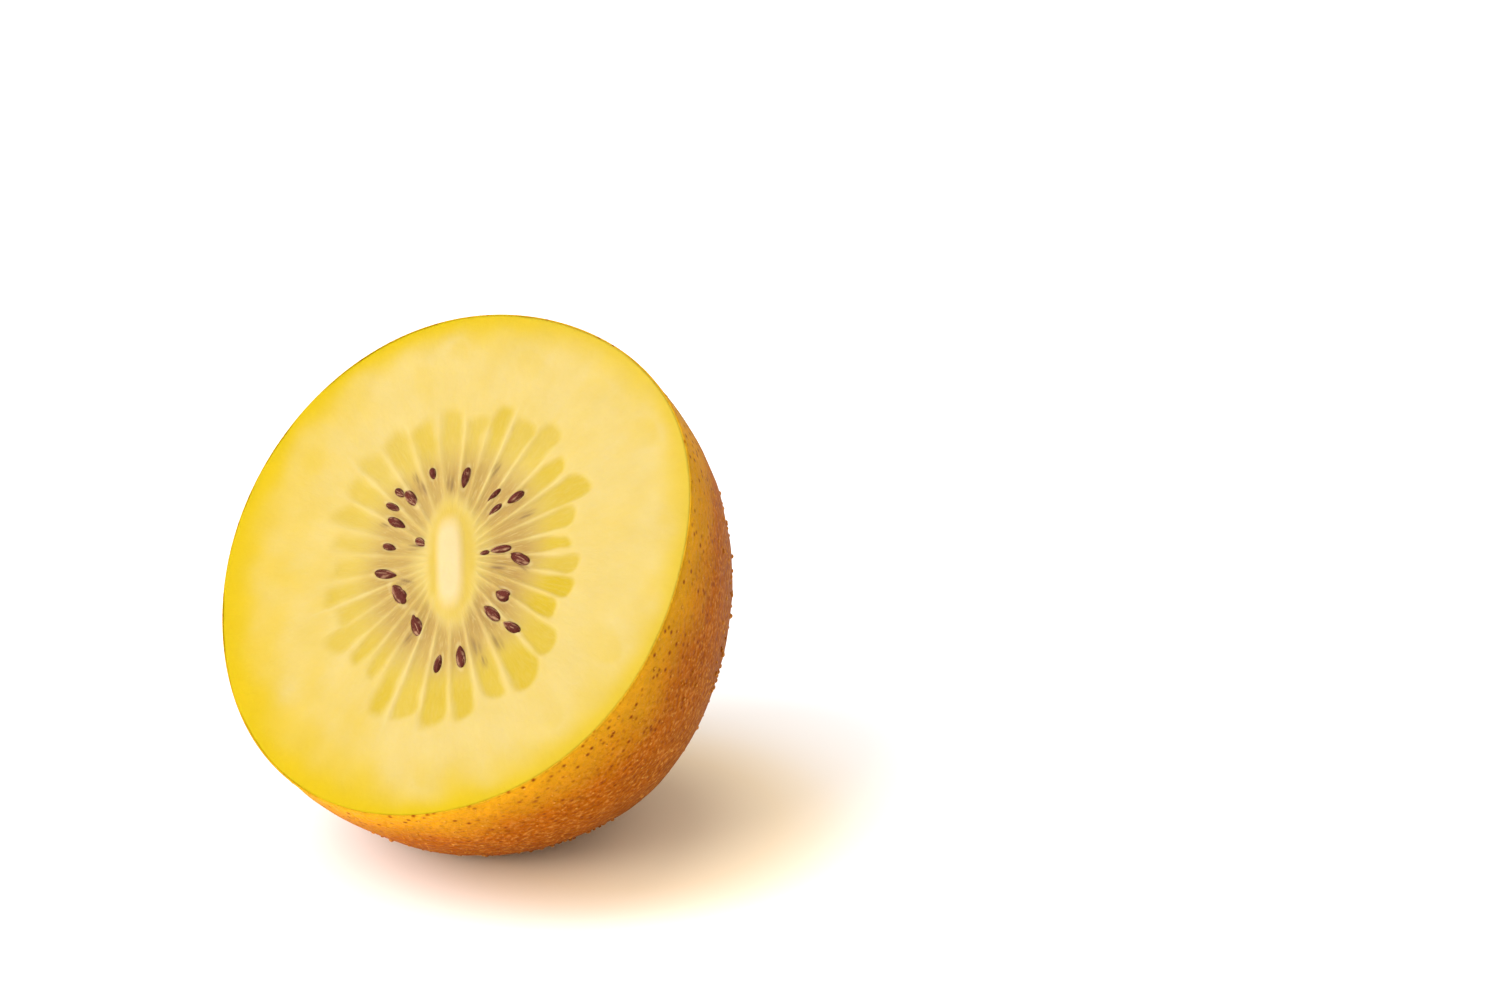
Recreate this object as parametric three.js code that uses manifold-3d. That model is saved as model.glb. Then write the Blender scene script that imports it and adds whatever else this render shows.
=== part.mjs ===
// Half of a golden kiwi fruit, cut across its length, lying on its skin with the cut tilted up.
// Millimetres, +Z up. The origin is the middle of the small flat spot that the half rests on.
// Each shape is made upright first, in the fruit's own axes: x and y in the cut, y along the
// core's long side, +z out of the cut, so that the stalk end points down -z.

import * as THREE from 'three';
import { mergeVertices } from 'three/addons/utils/BufferGeometryUtils.js';
import Module from 'manifold-3d';

const wasm = await Module();
wasm.setup();

const DEGREE = Math.PI / 180;

// The half as a whole
const MEAN_RADIUS = 27.2; // of the cut's outline
const OVALITY = 1.07; // how much longer and shorter the two half-axes are than the mean
const OUTLINE_WAVES = [
  { count: 3, height: 0.16, crest: 32 },
  { count: 4, height: 0.18, crest: 98 },
  { count: 5, height: 0.1, crest: 91 },
]; // slight unevenness of the outline; crest is in degrees of the wave
const HALF_LENGTH = 32.3; // from the cut to the stalk end
const FULLNESS = 2.3; // exponent of the rounded side, 2 being an ellipse
const SKIN_COLUMNS = 64;
const SKIN_ROWS = 13;

// How it lies
const CUT_LEAN = 44; // degrees between the cut and the surface below
const CORE_ROLL = 29.4; // degrees that the core's long side leans from the steepest line
const REST_DEPTH = 1.05; // pressed flat by this much
const REST_RADIUS = 6.4; // of the triangle in the middle of the flat spot
const REST_STEP = 0.03; // the triangle stands proud by this
const REST_TURN = 100; // direction of its first corner, which is under the weight

// Raised ring and hollow round the stalk, as [radius, height over the rounded end]
const RING_PROFILE = [
  [7.5, 0],
  [7.1, 0.4],
  [6.6, 0.75],
  [6.1, 0.8],
  [5.65, 0.5],
  [5.35, -0.2],
  [5.0, -0.7],
  [2.5, -0.8],
];
const HOLLOW_DEPTH = 0.8;
const ROUND_END = 9; // inside this radius the half is round, with no ovality
const OVAL_FROM = 18; // outside this radius it has its whole ovality

// Seed chambers round the core, as [direction in degrees, reach in mm]
const CHAMBERS = [
  [6, 13.8], [17, 15.7], [32, 15.5], [44, 17.0], [57, 16.2], [67, 17.7], [77, 16.2], [88, 17.6],
  [100, 17.2], [112, 17.3], [122, 17.1], [133, 16.0], [144, 15.5], [156, 14.6], [170, 13.8],
  [184, 14.3], [195, 13.0], [206, 15.1], [219, 14.8], [229, 14.9], [240, 18.4], [251, 17.5],
  [262, 18.3], [273, 18.9], [284, 17.8], [297, 18.3], [310, 16.9], [321, 14.4], [331, 14.8],
  [342, 14.6], [352, 13.6],
];
const CHAMBER_SINK = 0.4;
const CHAMBER_START = { x: 4.4, y: 7.4 }; // half-axes of the oval where the chambers begin
const WALL = 0.32; // thin wall between two chambers

// The pale core
const CORE = { x: 0.17, y: -0.35, halfWidth: 1.5, halfLength: 5.2, height: 0.5 };

// Seeds that the cut shows, as [x, y, length, width, direction of the thin end in degrees]
const SEEDS = [
  [1.8, 8.9, 2.4, 0.95, 254], [-4.3, 8.15, 2.5, 1.05, 299], [-5.6, 9.2, 1.5, 0.8, 310],
  [-6.3, 7.7, 2.2, 0.75, 323], [-6.0, 5.7, 2.7, 1.0, 318], [-6.9, 3.2, 1.7, 0.75, 330],
  [-3.4, 2.8, 1.5, 0.85, 315], [-7.4, 0.2, 2.7, 1.05, 338], [-5.95, -2.5, 3.0, 1.35, 118],
  [-4.1, -6.55, 2.75, 1.2, 105], [-1.8, -11.55, 2.1, 0.85, 75], [0.68, -11.4, 2.6, 1.05, 94],
  [4.2, -7.4, 2.6, 1.1, 129], [5.45, -5.7, 1.9, 1.3, 140], [6.3, -9.55, 2.4, 1.0, 138],
  [7.4, -2.05, 2.7, 1.2, 142], [5.4, -0.45, 2.4, 0.9, 172], [3.6, -0.4, 1.2, 0.6, 180],
  [7.2, 5.05, 2.1, 0.95, 202], [5.0, 4.25, 1.8, 0.75, 209], [4.85, 5.95, 2.0, 0.6, 217],
  [-1.85, 10.4, 1.5, 0.75, 280],
];
const SEED_THICK = 1.0;
const SEED_SINK = 0.1; // of a seed's middle below the cut
const SEED_TAPER = 0.22; // wider than the middle at the blunt end, narrower at the thin one

// Small round bumps on the skin
const BUMPS = { count: 110, radius: 0.42, top: 0.22, height: 0.28, root: 0.4, sides: 5, seed: 7 };
const BUMP_SPREAD = { first: 0.02, span: 0.93 }; // shares of the half's length that they cover
const BUMP_JITTER = 0.06; // radians
const BUMP_SIZES = { least: 0.75, range: 0.4 }; // against the size above
const BUMP_CLEAR = 0.4; // no bump nearer than this to the surface below

// Dry sepals in the hollow of the ring
const SEPALS = { count: 5, length: 4.7, width: 3.3, thick: 0.7, curl: 0.7, cup: 0.9, turn: 20 };
const SEPAL_ROOT = { reach: 0.6, halfWidth: 0.5 };
const SEPAL_BELLY = 0.95; // how far out the side curves are pulled, against the width
const SCAR = { radius: 1.15, topShare: 0.8, height: 1.0, lift: 0.2 }; // where the stalk broke off
const PAD = { radius: 3.3, topRadius: 2.8 }; // that joins the sepals
const GAP = 0.3; // between the sepals and the hollow's floor

// Block of ground that cuts the resting spot
const GROUND = { length: 140, width: 90, thick: 20, middle: 25 };

// Steps of the search for the lowest point, and of the measure of the skin's direction
const SEARCH_STEP = { depth: 0.05, angle: 0.005 };
const NORMAL_STEP = 0.01;
const MERGE_WITHIN = 1e-5;

// A repeatable draw between 0 and 1
function seededDraw(seed) {
  let state = seed;
  return () => {
    state = (state * 48271) % 2147483647;
    return state / 2147483647;
  };
}

// Geometry to a solid that can be joined and cut
function solidOf(geometry) {
  const bare = geometry.clone();
  bare.deleteAttribute('normal');
  bare.deleteAttribute('uv');
  const merged = mergeVertices(bare, MERGE_WITHIN);
  return new wasm.Manifold(new wasm.Mesh({
    numProp: 3,
    vertProperties: new Float32Array(merged.attributes.position.array),
    triVerts: new Uint32Array(merged.index.array),
  }));
}

// A solid back to geometry
function geometryOf(solid) {
  const mesh = solid.getMesh();
  const geometry = new THREE.BufferGeometry();
  geometry.setAttribute('position', new THREE.BufferAttribute(mesh.vertProperties, 3));
  geometry.setIndex(new THREE.BufferAttribute(mesh.triVerts, 1));
  geometry.computeVertexNormals();
  return geometry;
}

// The largest body alone: tiny hollows sealed by joining are filled, and loose scraps dropped
function largestBody(solid) {
  return solid.decompose().reduce((best, body) => (body.volume() > best.volume() ? body : best));
}

// Radius of the cut's outline in a direction
function outlineRadius(angle) {
  const waves = OUTLINE_WAVES.map((w) => w.height * Math.cos(w.count * angle - w.crest * DEGREE));
  return MEAN_RADIUS - OVALITY * Math.cos(2 * angle) + waves.reduce((sum, h) => sum + h, 0);
}

// A point at a mean radius, moved out or in to follow the oval outline
function ovalPoint(radius, angle, z) {
  const share = THREE.MathUtils.smoothstep(radius, ROUND_END, OVAL_FROM);
  const stretch = 1 + share * (outlineRadius(angle) / MEAN_RADIUS - 1);
  return new THREE.Vector3(radius * stretch * Math.cos(angle), radius * stretch * Math.sin(angle), z);
}

// Depth of the rounded side below the cut, at a mean radius
function skinDepth(radius) {
  return HALF_LENGTH * (1 - (radius / MEAN_RADIUS) ** FULLNESS) ** (1 / FULLNESS);
}

// Mean radius of the rounded side at a depth below the cut
function skinRadius(depth) {
  return MEAN_RADIUS * (1 - (depth / HALF_LENGTH) ** FULLNESS) ** (1 / FULLNESS);
}

// Closed profile, from the middle of the hollow out over the ring and the skin to the cut
function bodyProfile() {
  const ring = RING_PROFILE.map(([radius, rise]) => new THREE.Vector2(radius, -skinDepth(radius) - rise));
  const ringEdge = RING_PROFILE[0][0];
  const widest = Math.acos((ringEdge / MEAN_RADIUS) ** (FULLNESS / 2));
  const skin = [];
  for (let row = SKIN_ROWS - 1; row >= 0; row -= 1) {
    const fall = (widest * row) / SKIN_ROWS;
    const radius = MEAN_RADIUS * Math.cos(fall) ** (2 / FULLNESS);
    skin.push(new THREE.Vector2(radius, -HALF_LENGTH * Math.sin(fall) ** (2 / FULLNESS)));
  }
  const floor = new THREE.Vector2(0, -HALF_LENGTH + HOLLOW_DEPTH);
  return [floor, ...ring.reverse(), ...skin, new THREE.Vector2(0, 0)];
}

// The half without its relief
function halfBody() {
  const geometry = new THREE.LatheGeometry(bodyProfile(), SKIN_COLUMNS);
  geometry.rotateX(Math.PI / 2);
  const place = geometry.attributes.position;
  for (let i = 0; i < place.count; i += 1) {
    const radius = Math.hypot(place.getX(i), place.getY(i));
    const point = ovalPoint(radius, Math.atan2(place.getY(i), place.getX(i)), place.getZ(i));
    place.setXYZ(i, point.x, point.y, point.z);
  }
  return solidOf(geometry);
}

// Outline of one seed chamber: a narrow wedge with a round outer end
function chamberShape(index) {
  const [angle, reach] = CHAMBERS[index];
  const before = CHAMBERS.at(index - 1)[0] - (index === 0 ? 360 : 0);
  const last = index === CHAMBERS.length - 1;
  const after = CHAMBERS[last ? 0 : index + 1][0] + (last ? 360 : 0);
  const middle = ((before + 2 * angle + after) / 4) * DEGREE;
  const halfGap = ((after - before) / 4) * DEGREE;
  const start = 1 / Math.hypot(Math.cos(middle) / CHAMBER_START.x, Math.sin(middle) / CHAMBER_START.y);
  const halfStart = start * halfGap - WALL / 2;
  const endRadius = (reach * halfGap - WALL / 2) / (1 + halfGap);
  const shape = new THREE.Shape();
  shape.moveTo(start, -halfStart);
  shape.absarc(reach - endRadius, 0, endRadius, -Math.PI / 2, Math.PI / 2, false);
  shape.lineTo(start, halfStart);
  return { shape, middle };
}

// One chamber as a shallow cutter
function chamberCutter(index) {
  const { shape, middle } = chamberShape(index);
  const options = { depth: 2 * CHAMBER_SINK, bevelEnabled: false, curveSegments: 6 };
  const geometry = new THREE.ExtrudeGeometry(shape, options);
  geometry.translate(0, 0, -CHAMBER_SINK);
  geometry.rotateZ(middle);
  return solidOf(geometry);
}

// The core, a low oblong dome
function core() {
  const geometry = new THREE.SphereGeometry(1, 20, 8);
  geometry.scale(CORE.halfWidth, CORE.halfLength, CORE.height);
  geometry.translate(CORE.x, CORE.y, 0);
  return solidOf(geometry);
}

// One seed, a drop lying in the cut
function seed([x, y, length, width, direction]) {
  const geometry = new THREE.SphereGeometry(1, 8, 6);
  geometry.rotateZ(-Math.PI / 2);
  const place = geometry.attributes.position;
  for (let i = 0; i < place.count; i += 1) {
    const along = place.getX(i);
    const swell = 1 - SEED_TAPER * along;
    place.setXYZ(i, along, place.getY(i) * swell, place.getZ(i) * swell);
  }
  geometry.scale(length / 2, width / 2, SEED_THICK / 2);
  geometry.rotateZ(direction * DEGREE);
  geometry.translate(x, y, -SEED_SINK);
  return solidOf(geometry);
}

// Outward direction of the skin at a point on it
function skinNormal(radius, angle, depth) {
  const here = ovalPoint(radius, angle, -depth);
  const round = ovalPoint(radius, angle + NORMAL_STEP, -depth).sub(here);
  const below = depth + NORMAL_STEP;
  const down = ovalPoint(skinRadius(below), angle, -below).sub(here);
  return down.cross(round).normalize();
}

// The small bumps, spread evenly by the golden angle and then shifted a little
function skinBumps(restingPlace) {
  const draw = seededDraw(BUMPS.seed);
  const goldenAngle = Math.PI * (3 - Math.sqrt(5));
  const bumps = [];
  for (let i = 0; i < BUMPS.count; i += 1) {
    const share = BUMP_SPREAD.first + (BUMP_SPREAD.span * (i + draw())) / BUMPS.count;
    const depth = HALF_LENGTH * share;
    const angle = i * goldenAngle + BUMP_JITTER * draw();
    const size = BUMP_SIZES.least + BUMP_SIZES.range * draw();
    const radius = skinRadius(depth);
    const foot = ovalPoint(radius, angle, -depth);
    const out = skinNormal(radius, angle, depth);
    if (foot.clone().applyMatrix4(restingPlace).z < BUMP_CLEAR) {
      continue;
    }
    const tall = BUMPS.height + BUMPS.root;
    const geometry = new THREE.CylinderGeometry(size * BUMPS.top, size * BUMPS.radius, tall, BUMPS.sides);
    geometry.translate(0, tall / 2 - BUMPS.root, 0);
    geometry.applyQuaternion(new THREE.Quaternion().setFromUnitVectors(new THREE.Vector3(0, 1, 0), out));
    geometry.translate(foot.x, foot.y, foot.z);
    bumps.push(solidOf(geometry));
  }
  return bumps;
}

// Turn and place that lay the half on its resting spot
function restingMatrix() {
  const turn = new THREE.Matrix4().makeRotationX(CUT_LEAN * DEGREE);
  turn.multiply(new THREE.Matrix4().makeRotationZ(CORE_ROLL * DEGREE));
  let lowest = new THREE.Vector3(0, 0, Infinity);
  for (let depth = 0; depth < HALF_LENGTH; depth += SEARCH_STEP.depth) {
    for (let angle = 0; angle < 2 * Math.PI; angle += SEARCH_STEP.angle) {
      const point = ovalPoint(skinRadius(depth), angle, -depth).applyMatrix4(turn);
      lowest = point.z < lowest.z ? point : lowest;
    }
  }
  const place = new THREE.Matrix4().makeTranslation(-lowest.x, -lowest.y, -lowest.z - REST_DEPTH);
  return place.multiply(turn);
}

// The ground below the resting spot, in the fruit's own axes. The spot stands REST_STEP proud as
// one triangle, so that it is a single flat face.
function groundBlock(restingPlace) {
  const block = new THREE.BoxGeometry(GROUND.length, GROUND.width, GROUND.thick);
  block.translate(GROUND.middle, 0, REST_STEP - GROUND.thick / 2);
  const corners = [0, 120, 240].map((angle) => new THREE.Vector2(REST_RADIUS, 0).rotateAround(
    new THREE.Vector2(),
    (REST_TURN + angle) * DEGREE,
  ));
  const options = { depth: GROUND.thick / 2, bevelEnabled: false };
  const spot = new THREE.ExtrudeGeometry(new THREE.Shape(corners), options);
  const upright = restingPlace.clone().invert();
  return solidOf(block.applyMatrix4(upright)).subtract(solidOf(spot.applyMatrix4(upright)));
}

// The half fruit: skin, flesh, chambers, core and seeds as one grown solid
function kiwiHalf(restingPlace) {
  let solid = halfBody();
  for (let index = 0; index < CHAMBERS.length; index += 1) {
    solid = solid.subtract(chamberCutter(index));
  }
  solid = solid.add(core());
  for (const place of SEEDS) {
    solid = solid.add(seed(place));
  }
  for (const bump of skinBumps(restingPlace)) {
    solid = solid.add(bump);
  }
  return geometryOf(largestBody(solid.subtract(groundBlock(restingPlace))));
}

// One dry sepal: a pointed leaf lying outwards, its end curled up
function sepal(index) {
  const { count, length, width, thick, curl, cup, turn } = SEPALS;
  const { reach, halfWidth } = SEPAL_ROOT;
  const shape = new THREE.Shape();
  shape.moveTo(reach, -halfWidth);
  shape.quadraticCurveTo(length / 2, -SEPAL_BELLY * width, length, 0);
  shape.quadraticCurveTo(length / 2, SEPAL_BELLY * width, reach, halfWidth);
  const geometry = new THREE.ExtrudeGeometry(shape, { depth: thick, bevelEnabled: false, curveSegments: 7 });
  const place = geometry.attributes.position;
  for (let i = 0; i < place.count; i += 1) {
    const out = place.getX(i) / length;
    const side = place.getY(i) / width;
    place.setZ(i, place.getZ(i) + curl * out ** 3 + cup * side * side);
  }
  geometry.rotateZ((turn + (360 * index) / count) * DEGREE);
  return solidOf(geometry);
}

// The dry sepals on their pad, with the scar of the stalk in the middle
function dryCalyx() {
  const pad = new THREE.CylinderGeometry(PAD.topRadius, PAD.radius, SEPALS.thick, 20);
  pad.rotateX(Math.PI / 2);
  pad.translate(0, 0, SEPALS.thick / 2);
  const scar = new THREE.CylinderGeometry(SCAR.radius * SCAR.topShare, SCAR.radius, SCAR.height, 12);
  scar.rotateX(Math.PI / 2);
  scar.translate(0, 0, SCAR.height / 2 + SCAR.lift);
  let solid = solidOf(pad).add(solidOf(scar));
  for (let index = 0; index < SEPALS.count; index += 1) {
    solid = solid.add(sepal(index));
  }
  const geometry = geometryOf(solid);
  geometry.rotateX(Math.PI);
  geometry.translate(0, 0, -HALF_LENGTH + HOLLOW_DEPTH - GAP);
  return geometry;
}

// One named mesh with its own material
function piece(name, geometry, look) {
  const mesh = new THREE.Mesh(geometry, new THREE.MeshStandardMaterial(look));
  mesh.name = name;
  return mesh;
}

const restingPlace = restingMatrix();
const resting = new THREE.Group();
restingPlace.decompose(resting.position, resting.quaternion, resting.scale);
resting.add(piece('kiwi_half', kiwiHalf(restingPlace), { color: '#e9b93a', roughness: 0.45, metalness: 0 }));
resting.add(piece('dry_calyx', dryCalyx(), { color: '#7a4a24', roughness: 0.9, metalness: 0 }));

const fruit = new THREE.Group();
fruit.add(resting);

export default fruit;
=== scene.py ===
# Dressed model of the golden kiwi half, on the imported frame. Metres, +Z up, the cut facing -Y and up.
import math

import bmesh
import bpy
import numpy as np
from mathutils import Matrix, Vector


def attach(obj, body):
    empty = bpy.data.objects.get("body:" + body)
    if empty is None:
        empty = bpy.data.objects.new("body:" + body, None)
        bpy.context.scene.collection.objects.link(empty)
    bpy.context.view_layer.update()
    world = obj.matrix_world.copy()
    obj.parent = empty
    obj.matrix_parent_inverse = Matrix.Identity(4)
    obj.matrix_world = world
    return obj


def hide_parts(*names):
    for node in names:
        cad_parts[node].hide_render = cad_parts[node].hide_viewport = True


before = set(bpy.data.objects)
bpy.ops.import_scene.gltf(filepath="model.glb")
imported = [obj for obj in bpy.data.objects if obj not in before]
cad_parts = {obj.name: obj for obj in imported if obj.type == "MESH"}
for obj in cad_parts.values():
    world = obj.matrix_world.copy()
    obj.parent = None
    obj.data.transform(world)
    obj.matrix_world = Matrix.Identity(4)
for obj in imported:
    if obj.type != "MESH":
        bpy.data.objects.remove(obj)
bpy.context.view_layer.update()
mm = 0.001
print("frame loaded:", ", ".join(sorted(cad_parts)))

# The fruit's own axes: x and y in the cut, y along the core, z out of the cut, in mm
fruit = {
    "meanRadius": 27.2,
    "ovality": 1.07,  # the half-axes are this much longer and shorter than the mean
    "waves": ((3, 0.16, 32), (4, 0.18, 98), (5, 0.10, 91)),  # count, height, crest
    "halfLength": 32.3,
    "fullness": 2.3,  # exponent of the rounded side
    "roundEnd": 9,
    "ovalFrom": 18,
    "cutLean": 44,  # degrees
    "coreRoll": 29.4,
    "restDepth": 1.05,
    "skinThick": 0.15,
    "hollow": 0.8,  # how far in the middle of the end lies, inside the ring
    "floorClear": 0.45,  # what lies inside the skin stays this far over the floor
}

# Seed chambers: direction in degrees and reach
chambers = [
    (6, 13.8), (17, 15.7), (32, 15.5), (44, 17.0), (57, 16.2), (67, 17.7), (77, 16.2), (88, 17.6),
    (100, 17.2), (112, 17.3), (122, 17.1), (133, 16.0), (144, 15.5), (156, 14.6), (170, 13.8),
    (184, 14.3), (195, 13.0), (206, 15.1), (219, 14.8), (229, 14.9), (240, 18.4), (251, 17.5),
    (262, 18.3), (273, 18.9), (284, 17.8), (297, 18.3), (310, 16.9), (321, 14.4), (331, 14.8),
    (342, 14.6), (352, 13.6),
]

# Seeds in the cut: x, y, length, width, direction of the long side in degrees
seeds = [
    (1.8, 8.9, 2.4, 0.95, 254), (-4.3, 8.15, 2.5, 1.05, 299), (-5.6, 9.2, 1.5, 0.8, 310),
    (-6.3, 7.7, 2.2, 0.75, 323), (-6.0, 5.7, 2.7, 1.0, 318), (-6.9, 3.2, 1.7, 0.75, 330),
    (-3.4, 2.8, 1.5, 0.85, 315), (-7.4, 0.2, 2.7, 1.05, 338), (-5.95, -2.5, 3.0, 1.35, 118),
    (-4.1, -6.55, 2.75, 1.2, 105), (-1.8, -11.55, 2.1, 0.85, 75), (0.68, -11.4, 2.6, 1.05, 94),
    (4.2, -7.4, 2.6, 1.1, 129), (5.45, -5.7, 1.9, 1.3, 140), (6.3, -9.55, 2.4, 1.0, 138),
    (7.4, -2.05, 2.7, 1.2, 142), (5.4, -0.45, 2.4, 0.9, 172), (3.6, -0.4, 1.2, 0.6, 180),
    (7.2, 5.05, 2.1, 0.95, 202), (5.0, 4.25, 1.8, 0.75, 209), (4.85, 5.95, 2.0, 0.6, 217),
    (-1.85, 10.4, 1.5, 0.75, 280),
]

# Seeds that only show dimly under the cut: x, y, length, direction
dimSeeds = [
    (-7.4, 5.9, 1.2, 330), (-3.7, 10.3, 1.6, 290), (0.15, 8.6, 2.0, 270), (5.2, 8.9, 1.8, 235),
    (5.1, -2.4, 1.9, 168), (7.9, -3.3, 1.5, 140), (2.4, -10.8, 2.2, 110), (4.75, -10.9, 2.2, 120),
    (-4.9, -7.8, 1.6, 50), (-3.9, 2.4, 1.9, 350), (8.4, 2.7, 1.8, 195), (-5.2, -1.3, 1.9, 340),
    (3.2, -12.6, 1.6, 105), (-3.0, 9.0, 2.0, 295),
]
core = {"x": -0.15, "y": -0.5, "halfWidth": 1.5, "halfLength": 5.3}


# Same repeatable draw as the solids use
def seededDraw(seed):
    state = [seed]

    def draw():
        state[0] = state[0] * 48271 % 2147483647
        return state[0] / 2147483647

    return draw


def smoothStep(low, high, value):
    t = np.clip((value - low) / (high - low), 0, 1)
    return t * t * (3 - 2 * t)


# Smooth unevenness between -1 and 1: a few sine waves in seeded directions
def softNoise(places, wavelength, seed, waves=14):
    rng = np.random.default_rng(seed)
    out = np.zeros(len(places))
    for i in range(waves):
        way = rng.normal(size=3)
        way *= 2 * math.pi / (wavelength * rng.uniform(0.7, 1.5) * np.linalg.norm(way))
        out += np.sin(places @ way + rng.uniform(0, 6.28))
    return out / (0.5 * waves) ** 0.5 / 2


def outlineRadius(angle):
    radius = fruit["meanRadius"] - fruit["ovality"] * np.cos(2 * angle)
    for count, height, crest in fruit["waves"]:
        radius = radius + height * np.cos(count * angle - math.radians(crest))
    return radius


def ovalPlace(radius, angle, z):
    share = smoothStep(fruit["roundEnd"], fruit["ovalFrom"], radius)
    stretch = 1 + share * (outlineRadius(angle) / fruit["meanRadius"] - 1)
    return np.stack([radius * stretch * np.cos(angle), radius * stretch * np.sin(angle), z], -1)


def skinRadius(depth):
    share = np.clip(depth / fruit["halfLength"], 0, 1)
    return fruit["meanRadius"] * (1 - share ** fruit["fullness"]) ** (1 / fruit["fullness"])


def skinDepth(radius):
    share = np.clip(radius / fruit["meanRadius"], 0, 1)
    return fruit["halfLength"] * (1 - share ** fruit["fullness"]) ** (1 / fruit["fullness"])


# Turn and place that lay the half on its resting spot, as the solids lie
def restingPlace():
    turn = Matrix.Rotation(math.radians(fruit["cutLean"]), 3, "X")
    turn = turn @ Matrix.Rotation(math.radians(fruit["coreRoll"]), 3, "Z")
    depthStep, angleStep = 0.05, 0.005
    depth, angle = np.meshgrid(np.arange(0, fruit["halfLength"], depthStep), np.arange(0, 6.283, angleStep))
    places = ovalPlace(skinRadius(depth), angle, -depth).reshape(-1, 3) @ np.array(turn).T
    lowest = places[places[:, 2].argmin()]
    return np.array(turn), np.array([-lowest[0], -lowest[1], -lowest[2] - fruit["restDepth"]])


turnToRow, moveToRow = restingPlace()


def toRow(places):
    return places @ turnToRow.T + moveToRow


# Mesh vertices as an array, and back
def readPlaces(mesh):
    places = np.empty(len(mesh.vertices) * 3)
    mesh.vertices.foreach_get("co", places)
    return places.reshape(-1, 3)


def writePlaces(mesh, places):
    mesh.vertices.foreach_set("co", np.ascontiguousarray(places).ravel())
    mesh.update()


def addMask(mesh, name, values):
    mask = mesh.attributes.new(name, "FLOAT", "POINT")
    mask.data.foreach_set("value", np.ascontiguousarray(values, dtype=np.float32))


# Smooth mesh out of a bmesh that is done with
def smoothMesh(bm, name):
    for face in bm.faces:
        face.smooth = True
    mesh = bpy.data.meshes.new(name)
    bm.to_mesh(mesh)
    bm.free()
    return mesh


# A profile of radius and height pairs, wrapped all the way round: a grid rolled up and welded
def spunMesh(name, profile, steps):
    bm = bmesh.new()
    bmesh.ops.create_grid(bm, x_segments=steps, y_segments=len(profile) - 1, size=1)
    mesh = bpy.data.meshes.new(name)
    bm.to_mesh(mesh)
    grid = readPlaces(mesh)
    angle = (grid[:, 0] + 1) * math.pi
    row = (grid[:, 1] + 1) / 2 * (len(profile) - 1)
    radius = np.interp(row, range(len(profile)), [point[0] for point in profile])
    height = np.interp(row, range(len(profile)), [point[1] for point in profile])
    writePlaces(mesh, np.stack([radius * np.cos(angle), radius * np.sin(angle), height], -1))
    bm.clear()
    bm.from_mesh(mesh)
    weldDistance = 1e-4
    bmesh.ops.remove_doubles(bm, verts=bm.verts, dist=weldDistance)
    bmesh.ops.recalc_face_normals(bm, faces=bm.faces)
    for face in bm.faces:
        face.smooth = True
    bm.to_mesh(mesh)
    bm.free()
    return mesh


def finishPiece(name, mesh, material, nodes=()):
    piece = bpy.data.objects.new(name, mesh)
    bpy.context.scene.collection.objects.link(piece)
    mesh.materials.append(material)
    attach(piece, "root")
    if nodes:
        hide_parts(*nodes)
    print(name, len(mesh.vertices), "vertices")


# Node helpers for the materials
def newMaterial(name):
    material = bpy.data.materials.new(name)
    material.use_nodes = True
    nodes = material.node_tree.nodes
    return material, nodes, material.node_tree.links, nodes["Principled BSDF"]


def attributeNode(nodes, name):
    node = nodes.new("ShaderNodeAttribute")
    node.attribute_name = name
    return node.outputs["Fac"]


# Streaks that run out from the core: noise over a vector kept on the vertices
def streakNoise(nodes, links, scale, detail=3):
    vector = nodes.new("ShaderNodeAttribute")
    vector.attribute_name = "streak"
    node = nodes.new("ShaderNodeTexNoise")
    node.inputs["Scale"].default_value = scale
    node.inputs["Detail"].default_value = detail
    links.new(vector.outputs["Vector"], node.inputs["Vector"])
    return node.outputs["Fac"]


def mathNode(nodes, links, kind, *values):
    node = nodes.new("ShaderNodeMath")
    node.operation = kind
    for socket, value in zip(node.inputs, values):
        if hasattr(value, "is_output"):
            links.new(value, socket)
        else:
            socket.default_value = value
    return node.outputs[0]


def timesNode(nodes, links, a, b):
    return mathNode(nodes, links, "MULTIPLY", a, b)


def mixColour(nodes, links, factor, a, b, blend="MIX"):
    node = nodes.new("ShaderNodeMix")
    node.data_type = "RGBA"
    node.blend_type = blend
    for socket, value in ((node.inputs[0], factor), (node.inputs[6], a), (node.inputs[7], b)):
        if hasattr(value, "is_output"):
            links.new(value, socket)
        elif socket == node.inputs[0]:
            socket.default_value = value
        else:
            socket.default_value = (*value, 1)
    return node.outputs[2]


def rampNode(nodes, links, value, stops):
    node = nodes.new("ShaderNodeValToRGB")
    ramp = node.color_ramp
    while len(ramp.elements) < len(stops):
        ramp.elements.new(0.5)
    for element, (at, shade) in zip(ramp.elements, stops):
        element.position = at
        element.color = (*shade, 1) if hasattr(shade, "__len__") else (shade, shade, shade, 1)
    links.new(value, node.inputs[0])
    return node.outputs[0]


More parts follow.
